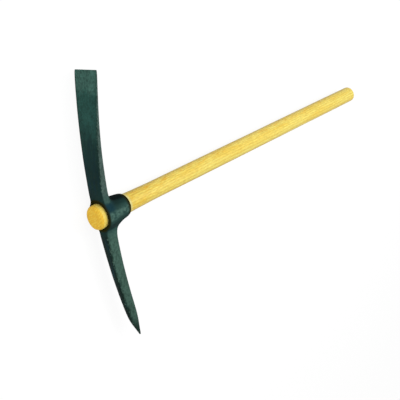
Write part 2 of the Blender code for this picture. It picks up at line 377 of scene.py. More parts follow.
class SharedEffects:
    """The shader node groups that more than one finish uses."""

    RING_CLOUDS: Triple = (5.0, 30.0, 30.0)
    RING_DETAIL: float = 2.0
    ROUND_HEART: Triple = (0.02, 1.0, 1.0)
    LATE_WOOD: Span = (0.30, 0.80)
    NEXT_SPRING: Span = (1.0, 0.90)

    def __init__(self) -> None:
        """Builds each group once."""
        self.patches = self.build_patches()
        self.pits = self.build_pits()
        self.rings = self.build_rings()

    @staticmethod
    def new_group(
        name: str, vectors: Sequence[str], values: Sequence[str]
    ) -> tuple[ShaderSheet, dict[str, Socket], Socket]:
        """Starts a group that puts out a mask.

        Args:
            name: The group's name.
            vectors: Names of its inputs that take a place or a factor for each axis.
            values: Names of its inputs that take a number.

        Returns:
            The group's sheet, its inputs' sockets by name, and the socket that the mask is fed to.
        """
        tree = bpy.data.node_groups.new(name, "ShaderNodeTree")
        for labels, kind in ((vectors, "NodeSocketVector"), (values, "NodeSocketFloat")):
            for label in labels:
                tree.interface.new_socket(label, in_out="INPUT", socket_type=kind)
        tree.interface.new_socket("Mask", in_out="OUTPUT", socket_type="NodeSocketFloat")
        sheet = ShaderSheet(tree)
        entry = sheet.add("NodeGroupInput").outputs
        given = {label: entry[label] for label in (*vectors, *values)}
        return sheet, given, sheet.add("NodeGroupOutput").inputs["Mask"]

    @staticmethod
    def cloud(sheet: ShaderSheet, place: Socket, stretch: Value, detail: Value) -> Socket:
        """Cloudy noise from 0 to 1 on a stretched place."""
        given = {"Vector": sheet.stretched(place, stretch), "Scale": 1.0, "Detail": detail}
        return sheet.add("ShaderNodeTexNoise", given).outputs[0]

    def build_patches(self) -> bpy.types.NodeTree:
        """Soft patches or, on a stretched place, streaks.

        Returns:
            The group. Low and High set where the patches start and where they are full.
        """
        sheet, given, mask = self.new_group("patches", ("Place", "Stretch"), ("Detail", "Low", "High"))
        cloud = self.cloud(sheet, given["Place"], given["Stretch"], given["Detail"])
        sheet.feed(sheet.ramp(cloud, (given["Low"], given["High"])), mask)
        return sheet.tree

    def build_pits(self) -> bpy.types.NodeTree:
        """Small pits.

        Returns:
            The group. Its mask is 1 in the middle of each pit and 0 outside its size.
        """
        sheet, given, mask = self.new_group("pits", ("Place", "Stretch"), ("Size",))
        place = sheet.stretched(given["Place"], given["Stretch"])
        cells = sheet.add("ShaderNodeTexVoronoi", {"Vector": place, "Scale": 1.0})
        share = sheet.math(Operation.DIVIDE, cells.outputs["Distance"], given["Size"])
        sheet.feed(sheet.mapped(share, UNIT, FALLING, soft=True), mask)
        return sheet.tree

    def build_rings(self) -> bpy.types.NodeTree:
        """Growth rings of a log whose heart lies beside the handle.

        Returns:
            The group. Its mask is 1 on the dense late wood.
        """
        sheet, given, mask = self.new_group("growth rings", ("Place", "Heart"), ("Width", "Wander"))
        cloud = self.cloud(sheet, given["Place"], self.RING_CLOUDS, self.RING_DETAIL)
        wander = sheet.times(cloud, given["Wander"])
        away = sheet.vector(Operation.SUBTRACT, given["Place"], given["Heart"]).outputs["Vector"]
        radius = sheet.plus(sheet.length(sheet.stretched(away, self.ROUND_HEART)), wander)
        turn = sheet.math(Operation.FRACTION, sheet.math(Operation.DIVIDE, radius, given["Width"]))
        sheet.feed(sheet.times(sheet.ramp(turn, self.LATE_WOOD), sheet.ramp(turn, self.NEXT_SPRING)), mask)
        return sheet.tree


@dataclass(frozen=True)
class Patches:
    """How finely patches lie along each axis, their detail, and from what to what they fill."""

    stretch: Triple
    detail: float
    fill: Span


@dataclass(frozen=True)
class Pits:
    """How finely pits or pores lie along each axis, and their size in their cells."""

    stretch: Triple
    size: float


class Surface:
    """The sheet and shader of one material, with where its points lie and face in the head frame."""

    def __init__(self, material: bpy.types.Material, effects: SharedEffects) -> None:
        """Opens a material.

        Args:
            material: The material, which uses nodes.
            effects: The shared effects.
        """
        self.sheet = ShaderSheet(material.node_tree)
        self.effects = effects
        self.shader = material.node_tree.nodes["Principled BSDF"]
        where = self.sheet.add("ShaderNodeTexCoord").outputs
        self.place = where["Object"]
        self.facing = where["Normal"]
        self.at = self.sheet.parts(self.place)
        self.faces = self.sheet.parts(self.facing)

    def patches(self, laid: Patches) -> Socket:
        """Mask of patches laid over this surface."""
        given = {"stretch": laid.stretch, "detail": laid.detail, "low": laid.fill[0], "high": laid.fill[1]}
        return self.sheet.effect(self.effects.patches, place=self.place, **given)

    def pits(self, laid: Pits) -> Socket:
        """Mask of small pits or pores in this surface."""
        return self.sheet.effect(self.effects.pits, place=self.place, stretch=laid.stretch, size=laid.size)

    def finish(self, tone: Socket, rough: Socket, height: Socket, depth: float) -> None:
        """Feeds the shader what changes over the surface.

        Args:
            tone: The colour.
            rough: The roughness.
            height: The height of a bump.
            depth: The bump's depth in metres.
        """
        bump = self.sheet.add("ShaderNodeBump", {"Distance": depth, "Height": height})
        given = {"Base Color": tone, "Roughness": rough, "Normal": bump.outputs["Normal"]}
        self.sheet.fill(self.shader, given)


@dataclass(frozen=True, kw_only=True)
class Finish(ABC):
    """What every finish has: a name, a range of roughness and how strongly it mirrors."""

    name: str
    roughness: Span
    specular: float

    @abstractmethod
    def lay(self, surface: Surface) -> None:
        """Lays the finish on a surface."""

    def build(self, effects: SharedEffects) -> bpy.types.Material:
        """Makes the finish's material.

        Args:
            effects: The shared effects.

        Returns:
            The material.
        """
        material = bpy.data.materials.new(self.name)
        material.use_nodes = True
        surface = Surface(material, effects)
        surface.sheet.fill(surface.shader, {"Specular IOR Level": self.specular})
        self.lay(surface)
        return material


@dataclass(frozen=True)
class Log:
    """Where the handle was cleft from the log: its heart beside the axis, and the growth rings."""

    heart: Triple = (0.0, 0.034, -0.021)
    ring_width: float = 0.0042
    ring_wander: float = 0.006

    def rings(self, surface: Surface) -> Socket:
        """Mask of the growth rings on a surface."""
        given = {"heart": self.heart, "width": self.ring_width, "wander": self.ring_wander}
        return surface.sheet.effect(surface.effects.rings, place=surface.place, **given)


@dataclass(frozen=True, kw_only=True)
class VarnishedAsh(Finish):
    """Yellow varnish over the long grain of the handle's side, and bare rubbed wood inside the eye."""

    name: str = "ash_long_grain"
    roughness: Span = (0.38, 0.52)
    specular: float = 0.12
    log: Log = Log()
    pale: Colour = (0.900, 0.768, 0.185)
    warm: Colour = (0.830, 0.540, 0.050)
    line: Colour = (0.700, 0.410, 0.034)
    orange: Colour = (0.770, 0.390, 0.022)
    painted_shade: Colour = (0.580, 0.420, 0.075)
    scuffed: Colour = (0.840, 0.760, 0.300)
    smear: Colour = (0.360, 0.300, 0.110)
    warm_end: Span = (0.26, 0.05)
    warm_share: float = 0.30
    broad_share: float = 0.42
    ring_share: float = 0.42
    streak_share: float = 0.36
    # The wood darkens away from this crown direction; this is painted shade.
    crown: Triple = (0.0, 0.26, 0.97)
    off_crown: Span = (0.75, 0.10)
    painted_shade_share: float = 0.80
    flank: Span = (0.40, 0.95)
    fleck_share: Span = (0.12, 0.62)
    shade: Span = (0.89, 1.08)
    scuff: Span = (0.0725, 0.0675)
    in_eye: Span = (0.0640, 0.0560)
    bare_share: Span = (1.0, 0.40)
    smear_share: float = 0.60
    broad: Patches = Patches((9.0, 60.0, 60.0), 3.0, (0.40, 0.66))
    streaks: Patches = Patches((40.0, 330.0, 330.0), 3.0, (0.48, 0.70))
    flecks: Patches = Patches((55.0, 330.0, 330.0), 4.0, (0.42, 0.68))
    mottle: Patches = Patches((120.0, 430.0, 430.0), 3.0, (0.32, 0.68))
    rubbing: Patches = Patches((260.0, 130.0, 130.0), 2.0, (0.20, 0.50))
    smears: Patches = Patches((28.0, 150.0, 150.0), 4.0, (0.44, 0.74))
    pores: Pits = Pits((60.0, 900.0, 900.0), 0.30)
    ring_height: float = 0.5
    bump_depth: float = 0.00006

    def grain(self, surface: Surface, rings: Socket, streaks: Socket) -> Socket:
        """The varnished grain: pale to warm, with rings, streaks and flecks, and darker off its crown as
        painted shade.

        Args:
            surface: The handle's surface.
            rings: Mask of the growth rings.
            streaks: Mask of the fine streaks.

        Returns:
            The tone.
        """
        sheet = surface.sheet
        near = sheet.times(sheet.ramp(surface.at.grip, self.warm_end), self.warm_share)
        broad = sheet.times(surface.patches(self.broad), self.broad_share)
        tone = sheet.colour(sheet.plus(broad, near), self.pale, self.warm)
        lines = sheet.larger(sheet.times(rings, self.ring_share), sheet.times(streaks, self.streak_share))
        tone = sheet.colour(lines, tone, self.line)
        flank = sheet.ramp(sheet.absolute(surface.faces.blade), self.flank)
        spread = sheet.plus(sheet.between(flank, self.fleck_share), near)
        tone = sheet.colour(sheet.times(surface.patches(self.flecks), spread), tone, self.orange)
        # Painted shade where the handle turns away from its crown.
        off_crown = sheet.ramp(sheet.agreement(surface.facing, self.crown), self.off_crown)
        return sheet.colour(sheet.times(off_crown, self.painted_shade_share), tone, self.painted_shade)

    def lay(self, surface: Surface) -> None:
        """Lays the grain, the wood that the eye rubs bare and smears, and the pores.

        Args:
            surface: The handle's surface.
        """
        sheet = surface.sheet
        rings = self.log.rings(surface)
        streaks = surface.patches(self.streaks)
        tone = self.grain(surface, rings, streaks)
        in_eye = sheet.ramp(surface.at.grip, self.in_eye)
        bare = sheet.times(sheet.ramp(surface.at.grip, self.scuff), surface.patches(self.rubbing))
        tone = sheet.colour(sheet.times(bare, sheet.between(in_eye, self.bare_share)), tone, self.scuffed)
        smears = sheet.times(in_eye, surface.patches(self.smears), self.smear_share)
        tone = sheet.colour(smears, tone, self.smear)
        tone = sheet.shaded(tone, sheet.between(surface.patches(self.mottle), self.shade))
        height = sheet.minus(sheet.times(rings, self.ring_height), surface.pits(self.pores))
        rough = sheet.between(streaks, self.roughness)
        surface.finish(tone, rough, sheet.plus(height, streaks), self.bump_depth)


@dataclass(frozen=True, kw_only=True)
class EndGrain(Finish):
    """Yellow varnish soaked into the sawn ends, where the growth rings show as arcs."""

    name: str = "ash_end_grain"
    roughness: Span = (0.50, 0.70)
    specular: float = 0.12
    log: Log = Log()
    face: Colour = (0.900, 0.600, 0.065)
    soaked: Colour = (0.820, 0.430, 0.025)
    line: Colour = (0.740, 0.440, 0.040)
    # The paler rim on the rounding is partly wear and partly painted highlight.
    rim: Colour = (0.880, 0.700, 0.150)
    turned: Span = (0.36, 0.02)
    rim_share: Span = (1.0, 0.45)
    blot_share: float = 0.8
    ring_share: float = 0.5
    pore_share: float = 0.4
    blots: Patches = Patches((230.0, 230.0, 230.0), 4.0, (0.38, 0.68))
    rubbing: Patches = Patches((420.0, 420.0, 420.0), 2.0, (0.40, 0.62))
    pores: Pits = Pits((900.0, 900.0, 900.0), 0.42)
    bump_depth: float = 0.00008

    def lay(self, surface: Surface) -> None:
        """Lays the soaked face with its rings and pores, and the paler rounded rim, which is partly wear and
        partly painted highlight.

        Args:
            surface: The handle's surface.
        """
        sheet = surface.sheet
        rings = self.log.rings(surface)
        pores = surface.pits(self.pores)
        blots = sheet.times(surface.patches(self.blots), self.blot_share)
        tone = sheet.colour(blots, self.face, self.soaked)
        tone = sheet.colour(sheet.times(rings, self.ring_share), tone, self.line)
        tone = sheet.colour(sheet.times(pores, self.pore_share), tone, self.line)
        # Paler on the rounded rim: partly patchy wear, partly painted highlight.
        turned = sheet.ramp(sheet.absolute(surface.faces.grip), self.turned)
        wear_and_highlight = sheet.between(surface.patches(self.rubbing), self.rim_share)
        tone = sheet.colour(sheet.times(turned, wear_and_highlight), tone, self.rim)
        rough = sheet.between(pores, self.roughness)
        surface.finish(tone, rough, sheet.minus(rings, pores), self.bump_depth)


@dataclass(frozen=True)
class HandleShape:
    """Sizes of the handle, which the eye's bore follows too."""

    length: float = 0.900
    stand_out: float = 0.0145
    shaft_size: float = 0.0372
    grip_size: float = 0.0378
    end_height: float = 0.0495
    end_width: float = 0.0461
    flare_length: float = 0.175
    flare_power: int = 3
    end_rounding: float = 0.008
    grip_rounding: float = 0.004

    def semi_axes(self, x: float) -> Span:
        """Half sizes of the handle's oval.

        Args:
            x: Distance along the axis.

        Returns:
            Half the height and half the width.
        """
        inside = max(x, 0.0)
        swell = max(0.0, 1.0 - inside / self.flare_length) ** self.flare_power
        shaft = mix(self.shaft_size, self.grip_size, inside / (self.length - self.stand_out)) / 2
        swell_y = (self.end_height - self.shaft_size) / 2
        swell_z = (self.end_width - self.shaft_size) / 2
        return shaft + swell_y * swell, shaft + swell_z * swell

    def ring(self, x: float, growth: float, sides: int) -> list[Vector]:
        """Points round the handle.

        Args:
            x: Distance along the axis.
            growth: How far the ring stands off the handle.
            sides: Number of points.

        Returns:
            The points.
        """
        semi_y, semi_z = self.semi_axes(x)
        turns = [2 * math.pi * step / sides for step in range(sides)]
        return [oval_point(x, turn, semi_y + growth, semi_z + growth) for turn in turns]

    def mouth_centre(self) -> Vector:
        """Centre of the eye's outer mouth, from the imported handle's box."""
        low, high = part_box("handle")
        return Vector((low.x + self.stand_out, (low.y + high.y) / 2, (low.z + high.z) / 2))


@dataclass(frozen=True)
class Handle:
    """The ash handle, a loft of ovals that is shaved very slightly uneven outside the eye."""

    shape: HandleShape
    sides: int = 96
    swell_rows: int = 40
    shaft_rows: int = 110
    rounding_steps: int = 9
    face_rings: int = 5
    shaving_depth: float = 0.0005
    shavings: Triple = (9.0, 28.0, 28.0)
    even_until: float = 0.070
    end_slope: float = 0.75

    def rounded_end(self, x_end: float, direction: int, rounding: float) -> list[list[Vector]]:
        """Rings of a rounded end.

        Args:
            x_end: Where the end's flat face is.
            direction: 1 where the handle lies beyond the face, or else -1.
            rounding: Radius of the rounding.

        Returns:
            The rings, from the flat face to where the rounding meets the side.
        """
        rings = []
        for step in range(self.rounding_steps + 1):
            turn = QUARTER_TURN * step / self.rounding_steps
            x = x_end + direction * rounding * (1 - math.cos(turn))
            rings.append(self.shape.ring(x, -rounding * (1 - math.sin(turn)), self.sides))
        return rings

    def shaved(self, point: Vector) -> Vector:
        """Moves a point in by the unevenness that a shaved stick has past the eye.

        Args:
            point: The point of the even handle.

        Returns:
            The moved point.
        """
        outside = min(max((point.x - self.even_until) / self.even_until, 0.0), 1.0)
        across = (point * Vector(ACROSS)).normalized()
        return point + across * dent(point * Vector(self.shavings)) * self.shaving_depth * outside

    def close_face(self, made: bmesh.types.BMesh, outer: Row) -> None:
        """Closes an end with rings that shrink towards its middle.

        Args:
            made: The mesh in the making.
            outer: The ring round the end's face.
        """
        middle = sum((vertex.co for vertex in outer), Vector()) / len(outer)
        near = outer
        for share in spaced(1.0, 0.0, self.face_rings)[:-1]:
            far = add_row(made, [middle.lerp(vertex.co, share) for vertex in outer])
            skin(made, near, far, closed=True)
            near = far
        made.faces.new(near)

    def build(self) -> bpy.types.Object:
        """Lofts the handle and closes both ends.

        Returns:
            The handle, in the head frame.
        """
        shape = self.shape
        grip = shape.length - shape.stand_out
        rings = self.rounded_end(-shape.stand_out, 1, shape.end_rounding)
        stations = [0.0, *spaced(0.0, shape.flare_length, self.swell_rows)]
        stations += spaced(shape.flare_length, grip, self.shaft_rows)[:-1]
        rings += [shape.ring(x, 0.0, self.sides) for x in stations]
        rings += reversed(self.rounded_end(grip, -1, shape.grip_rounding))
        made = bmesh.new()
        loops = loft(made, [[self.shaved(point) for point in ring] for ring in rings])
        for outer in (loops[0], loops[-1]):
            self.close_face(made, outer)
        handle = object_from_bmesh("ash_handle", made)
        handle.data.shade_smooth()
        return handle

    def dress(self, handle: bpy.types.Object, effects: SharedEffects) -> None:
        """Gives the side its long grain, and the nose and the grip's face the end grain.

        Args:
            handle: The handle.
            effects: The shared effects.
        """
        for finish in (VarnishedAsh(), EndGrain()):
            handle.data.materials.append(finish.build(effects))
        for polygon in handle.data.polygons:
            polygon.material_index = int(polygon.center.x < 0 or polygon.normal.x > self.end_slope)


@dataclass(frozen=True)
class Eye:
    """The oval socket of the head: the handle's section, a clearance and a wall."""

    handle: HandleShape
    depth: float = 0.0654
    clearance: float = 0.0003
    mouth_wall: float = 0.0079
    throat_wall: float = 0.0034
    mouth_rounding: float = 0.0035
    throat_rounding: float = 0.003
    mouth_flare: float = 0.0035
    throat_flare: float = 0.0008
    cheek_columns: int = 6
    arm_columns: int = 4

    def semi_axes(self, x: float) -> Span:
        """Outside half sizes of the socket.

        Args:
            x: Depth from the outer mouth.

        Returns:
            Half the height and half the width.
        """
        share = x / self.depth
        mouth_y, mouth_z = self.handle.semi_axes(0)
        throat_y, throat_z = self.handle.semi_axes(self.depth)
        around = self.clearance + mix(self.mouth_wall, self.throat_wall, share)
        return mix(mouth_y, throat_y, share) + around, mix(mouth_z, throat_z, share) + around

    def corner(self, side: Side, x: float, aside: float, inset: float = 0.0) -> Vector:
        """Point of the socket at a distance out of the head's middle plane.

        Args:
            side: Which side of the handle the point lies on.
            x: Depth from the outer mouth.
            aside: Distance out of the middle plane.
            inset: How far the point lies inside the socket's skin.

        Returns:
            The point.
        """
        semi_y, semi_z = self.semi_axes(x)
        height = (semi_y - inset) * math.sqrt(max(0.0, 1 - (aside / (semi_z - inset)) ** 2))
        return Vector((x, side.value * height, aside))

    def turn_of(self, point: Vector) -> float:
        """Turn of a point of the socket, from the blade's side."""
        semi_y, semi_z = self.semi_axes(point.x)
        return math.atan2(point.z / semi_z, point.y / semi_y)

    def cage_point(self, x: float, turn: float, inset: float = 0.0) -> Vector:
        """Cage point, set out so that the smoothed surface comes to the oval.

        Args:
            x: Depth from the outer mouth.
            turn: Turn round the axis, from the blade's side.
            inset: How far the surface lies inside the socket's skin.

        Returns:
            The point.
        """
        step = math.pi / (self.cheek_columns + self.arm_columns)
        set_out = (OWN_WEIGHT + 2) / (OWN_WEIGHT + 2 * math.cos(step))
        semi_y, semi_z = self.semi_axes(x)
        return oval_point(x, turn, (semi_y - inset) * set_out, (semi_z - inset) * set_out)


@dataclass(frozen=True)
class Arm(ABC):
    """One arm of the head, swept from the socket to its end."""

    eye: Eye
    side: Side
    reach: float
    root_width: float
    root_depth: float
    hook: float
    bend: float
    corner: float
    crotch: float
    start: float = 0.026
    cheek_fillet: float = 0.014
    largest_corner: float = 0.25
    fillet_rise: float = 0.2

    @abstractmethod
    def sections(self) -> list[list[Vector]]:
        """Sections from the end of the fillet to the arm's end."""

    def share_at(self, distance: float) -> float:
        """Share of the sweep at a distance from the handle's axis."""
        return max(0.0, (distance - self.start) / (self.reach - self.start))

    def outer_point(self, distance: float) -> Vector:
        """Place on the outer face, in the head's middle plane."""
        swept = self.hook * self.share_at(distance) ** self.bend
        return Vector((swept, self.side.value * distance, 0))

    def inward(self, distance: float) -> Vector:
        """Direction from the outer face to the inner one, square to the sweep."""
        slope = self.hook * self.bend * self.share_at(distance) ** (self.bend - 1)
        return Vector((self.reach - self.start, -self.side.value * slope, 0)).normalized()

    def section(self, distance: float, width: float, depth: float, set_back: float = 0.0) -> list[Vector]:
        """Half a rounded rectangle across the arm.

        Args:
            distance: Distance from the handle's axis.
            width: Size along Z.
            depth: Size from the outer face to the inner one.
            set_back: How far the section is moved towards the grip.

        Returns:
            Points from the outer face round to the inner face.
        """
        half = width / 2
        corner = min(self.corner, width * self.largest_corner, depth * self.largest_corner)
        outline = ((0, 0), (0, half - corner), (corner, half))
        outline += ((depth - corner, half), (depth, half - corner), (depth, 0))
        start = self.outer_point(distance) + Vector((set_back, 0, 0))
        inward = self.inward(distance)
        return [start + inward * down + Vector((0, 0, aside)) for down, aside in outline]

    def root_loop(self) -> list[Vector]:
        """Half the loop where the arm leaves the socket.

        Returns:
            Its points, in the order of a section.
        """
        half = self.root_width / 2
        eye = self.eye
        face = eye.corner(self.side, 0, half - self.corner, eye.mouth_rounding)
        rise = self.crotch * self.fillet_rise
        lift = Vector((rise, self.side.value * rise, 0))
        return [
            Vector((0, face.y, 0)),
            face,
            eye.corner(self.side, eye.mouth_rounding, half),
            eye.corner(self.side, self.root_depth - self.corner, half) + lift,
            eye.corner(self.side, self.root_depth, half - self.corner) + lift,
            eye.corner(self.side, self.root_depth, 0) + lift,
        ]

    def crotch_end(self) -> float:
        """Distance from the handle's axis at which the inner face's fillet has run out."""
        return abs(self.eye.corner(self.side, self.root_depth, 0).y) + self.crotch

    def fillet_ends(self) -> list[float]:
        """Where the fillets end.

        Returns:
            Distances from the handle's axis at which the cheek's and the inner face's fillets end.
        """
        valley = self.eye.corner(self.side, self.root_depth / 2, self.root_width / 2)
        cheek_end = abs(valley.y) + self.cheek_fillet
        return [cheek_end, max(self.crotch_end(), cheek_end + self.cheek_fillet / 2)]

    def crotch_lift(self, distance: float) -> float:
        """How far the round fillet lifts the inner face at a distance from the handle's axis."""
        left = min(max(self.crotch_end() - distance, 0.0), self.crotch)
        return self.crotch - math.sqrt(self.crotch**2 - left**2)


@dataclass(frozen=True)
class BladeArm(Arm):
    """The wide arm, which thins and widens to the cutting edge."""

    side: Side = Side.BLADE
    reach: float = 0.2735
    root_width: float = 0.040
    root_depth: float = 0.0182
    hook: float = 0.034
    bend: float = 1.78
    corner: float = 0.0026
    crotch: float = 0.012
    edge_width: float = 0.063
    edge_thickness: float = 0.003
    edge_easing: float = 0.0024
    rows: int = 4

    def sections(self) -> list[list[Vector]]:
        """Sections from the end of the fillet to the cutting edge with its eased corners.

        Returns:
            The sections, each as points.
        """
        ends = self.fillet_ends()
        eased_from = self.reach - self.edge_easing
        made = []
        for distance in [*ends, *spaced(ends[-1], eased_from, self.rows), self.reach]:
            share = self.share_at(distance)
            easing = max(0, distance - eased_from)
            width = mix(self.root_width, self.edge_width, share) - easing * 2
            thickness = mix(self.root_depth, self.edge_thickness, share)
            made.append(self.section(distance, width, thickness + self.crotch_lift(distance)))
        return made


@dataclass(frozen=True)
class PointArm(Arm):
    """The narrow arm, which tapers to a sharpened nose and the tip."""

    side: Side = Side.POINT
    reach: float = 0.2765
    root_width: float = 0.0254
    root_depth: float = 0.0285
    hook: float = 0.0323
    bend: float = 1.76
    corner: float = 0.0034
    crotch: float = 0.0215
    nose_width: float = 0.0133
    nose_depth: float = 0.0231
    nose_length: float = 0.043
    nose_softness: float = 0.0085
    tip_size: float = 0.003
    tip_set: float = 0.53
    rows: int = 3
    nose_rows: int = 2

    def sections(self) -> list[list[Vector]]:
        """Sections from the end of the fillet, past the sharpened nose, to the tip.

        Returns:
            The sections, each as points.
        """
        ends = self.fillet_ends()
        nose = self.reach - self.nose_length
        stations = ends + spaced(ends[-1], nose - self.nose_softness, self.rows)
        stations += [nose + self.nose_softness]
        stations += spaced(nose + self.nose_softness, self.reach, self.nose_rows)
        made = []
        for distance in stations:
            taper = min(self.share_at(distance) / self.share_at(nose), 1)
            width = mix(self.root_width, self.nose_width, taper)
            depth = mix(self.root_depth, self.nose_depth, taper) + self.crotch_lift(distance)
            sharpened = max(0, distance - nose) / self.nose_length
            set_back = (depth * self.tip_set - self.tip_size / 2) * sharpened
            width = mix(width, self.tip_size, sharpened)
            depth = mix(depth, self.tip_size, sharpened)
            made.append(self.section(distance, width, depth, set_back))
        return made


@dataclass(frozen=True, kw_only=True)
class ForgePaint(Finish):
    """Dark green paint over the skin of a forging, with painted sheen on the flat sides, painted light
    towards the blade's edge and painted shade in the nooks.
    """

    blade: BladeArm
    point: PointArm
    name: str = "green_paint"
    roughness: Span = (0.34, 0.48)
    specular: float = 0.03
    # The blade lightens from the root through the middle to the edge; this is painted light.
    root: Colour = (0.0066, 0.0260, 0.0248)
    middle: Colour = (0.0265, 0.0930, 0.0765)
    edge: Colour = (0.0580, 0.1450, 0.1175)
    point_strip: Colour = (0.0050, 0.0130, 0.0094)
    streak: Colour = (0.0056, 0.0260, 0.0350)
    # The flat sides' tones are painted sheen, lighter than the outer faces.
    blade_side: Colour = (0.0770, 0.1230, 0.1090)
    point_side: Colour = (0.0600, 0.1230, 0.0960)
    # The socket is lighter where it faces a flat side (painted light) and carries a painted highlight along
    # its crest.
    collar: Colour = (0.0100, 0.0300, 0.0270)
    collar_top: Colour = (0.0290, 0.0740, 0.0640)
    painted_sheen: Colour = (0.0850, 0.1700, 0.1400)
    blue: Colour = (0.0090, 0.0400, 0.0560)
    fleck: Colour = (0.0100, 0.0290, 0.0220)
    chip: Colour = (0.0900, 0.1650, 0.1300)
    # Painted shade in the crotches beside the socket.
    painted_crotch_shade: Colour = (0.0015, 0.0040, 0.0040)
    # Painted shade round the bore's mouth and along the rear rim.
    painted_mouth_and_rim_shade: Colour = (0.0170, 0.0160, 0.0025)
    point_zone: Span = (0.0, -0.045)
    blade_zone: Span = (0.0, 0.030)
    middle_zone: Span = (0.085, 0.220)
    edge_zone: Span = (0.228, 0.242)
    streak_zone: Span = (0.228, 0.085)
    tip_zone: Span = (-0.222, -0.264)
    socket_zone: Span = (0.058, 0.027)
    edge_band: Span = (-0.007, -0.001)
    edge_share: float = 0.45
    zone_wander: Span = (-0.007, 0.007)
    strip_end: Span = (0.0, 0.008)
    strip_wander: Span = (-0.004, 0.004)
    side_facing: Span = (0.35, 0.92)
    # How much of the painted sheen the flat side that faces down keeps.
    underneath: Span = (0.3, 1.0)
    corner_start: Span = (0.10, 0.45)
    corner_end: Span = (0.999, 0.92)
    top_facing: Span = (0.78, 0.99)
    crest_facing: Span = (0.93, 1.0)
    crest_along: Span = (0.036, 0.012)
    crest_share: Span = (0.25, 1.0)
    blue_along: Span = (0.0, 0.014)
    blue_end: Span = (0.030, 0.020)
    blue_depth: Span = (0.030, 0.012)
    blue_facing: Span = (0.30, 0.75)
    blue_share: Span = (0.9, 0.2)
    mouth_radius: Span = (0.0352, 0.0300)
    mouth_depth: Span = (0.0055, 0.0005)
    rim_depth: Span = (0.0530, 0.0605)
    crotch_facing: Span = (0.60, 0.90)
    crotch_depth: Span = (0.008, 0.030)
    crotch_share: float = 0.9
    fleck_share: Span = (0.52, 0.88)
    socket_flecks: Span = (0.4, 1.0)
    chip_share: float = 0.7
    shade: Span = (0.84, 1.16)
    socket_roughness: float = 0.75
    wander: Patches = Patches((60.0, 30.0, 60.0), 3.0, (0.20, 0.80))
    streaks: Patches = Patches((160.0, 22.0, 260.0), 4.0, (0.45, 0.68))
    blotches: Patches = Patches((110.0, 130.0, 110.0), 3.0, (0.36, 0.60))
    flecks: Patches = Patches((230.0, 160.0, 230.0), 5.0, (0.42, 0.66))
    specks: Patches = Patches((480.0, 330.0, 480.0), 3.0, (0.47, 0.70))
    chips: Patches = Patches((330.0, 200.0, 330.0), 2.0, (0.56, 0.66))
    clouds: Patches = Patches((45.0, 30.0, 45.0), 5.0, (0.25, 0.75))
    peel: Patches = Patches((700.0, 500.0, 700.0), 2.0, UNIT)
    scale_pits: Pits = Pits((420.0, 420.0, 420.0), 0.35)
    cloud_height: float = 1.4
    pit_height: float = 0.35
    bump_depth: float = 0.00010

    def behind_outer_face(self, surface: Surface) -> Socket:
        """How far a point of the pointed arm lies behind its swept outer face.

        Args:
            surface: The head's surface.

        Returns:
            The distance.
        """
        sheet, arm = surface.sheet, self.point
        share = sheet.share(surface.at.blade, (-arm.start, -arm.reach))
        swept = sheet.times(sheet.math(Operation.POWER, share, arm.bend), arm.hook)
        return sheet.minus(surface.at.grip, swept)

    def by_blade_edges(self, surface: Surface) -> Socket:
        """Bands along the two long edges of the blade, made darker.

        Args:
            surface: The head's surface.

        Returns:
            Their mask.
        """
        sheet, arm = surface.sheet, self.blade
        share = sheet.share(surface.at.blade, (arm.start, arm.reach))
        half = sheet.between(share, (arm.root_width / 2, arm.edge_width / 2))
        past = sheet.minus(sheet.absolute(surface.at.up), half)
        on_blade = sheet.ramp(surface.at.blade, self.blade_zone)
        return sheet.times(sheet.ramp(past, self.edge_band), on_blade, self.edge_share)

    def arm_tone(self, surface: Surface, flat: Socket) -> Socket:
        """Paint on the arms: darker towards the eye and on the point, with painted light that lightens the
        blade towards its edge, and painted sheen on the flat sides, most on the side that faces up.

        Args:
            surface: The head's surface.
            flat: How far a point faces one of the flat sides.

        Returns:
            The tone.
        """
        sheet = surface.sheet
        along = surface.at.blade
        wander = surface.patches(self.wander)
        shifted = sheet.plus(along, sheet.between(wander, self.zone_wander))
        on_point = sheet.ramp(along, self.point_zone)
        tone = sheet.colour(on_point, self.root, self.point_strip)
        # Painted light: the blade lightens towards its cutting edge.
        tone = sheet.colour(sheet.ramp(shifted, self.middle_zone), tone, self.middle)
        tone = sheet.colour(sheet.ramp(shifted, self.edge_zone), tone, self.edge)
        streaks = sheet.times(surface.patches(self.streaks), sheet.ramp(along, self.streak_zone))
        tone = sheet.colour(streaks, tone, self.streak)
        tone = sheet.colour(self.by_blade_edges(surface), tone, self.fleck)
        behind = sheet.plus(self.behind_outer_face(surface), sheet.between(wander, self.strip_wander))
        off_strip = sheet.larger(sheet.ramp(behind, self.strip_end), sheet.minus(1.0, on_point))
        # Painted sheen: the flat sides are lighter off the point's outer strip, and most on the side that
        # faces up.
        painted_sheen = sheet.times(off_strip, sheet.between(surface.faces.up, self.underneath))
        side = sheet.colour(on_point, self.blade_side, self.point_side)
        side = sheet.colour(sheet.ramp(along, self.tip_zone), side, self.fleck)
        return sheet.colour(sheet.times(sheet.ramp(flat, self.side_facing), painted_sheen), tone, side)

    def collar_tone(self, surface: Surface, flat: Socket) -> Socket:
        """Paint on the eye socket: dark, lighter where it faces a flat side as painted light, with a bluish
        patch by the blade, and a painted highlight along its crest.

        Args:
            surface: The head's surface.
            flat: How far a point faces one of the flat sides.

        Returns:
            The tone.
        """
        sheet = surface.sheet
        along = surface.at.blade
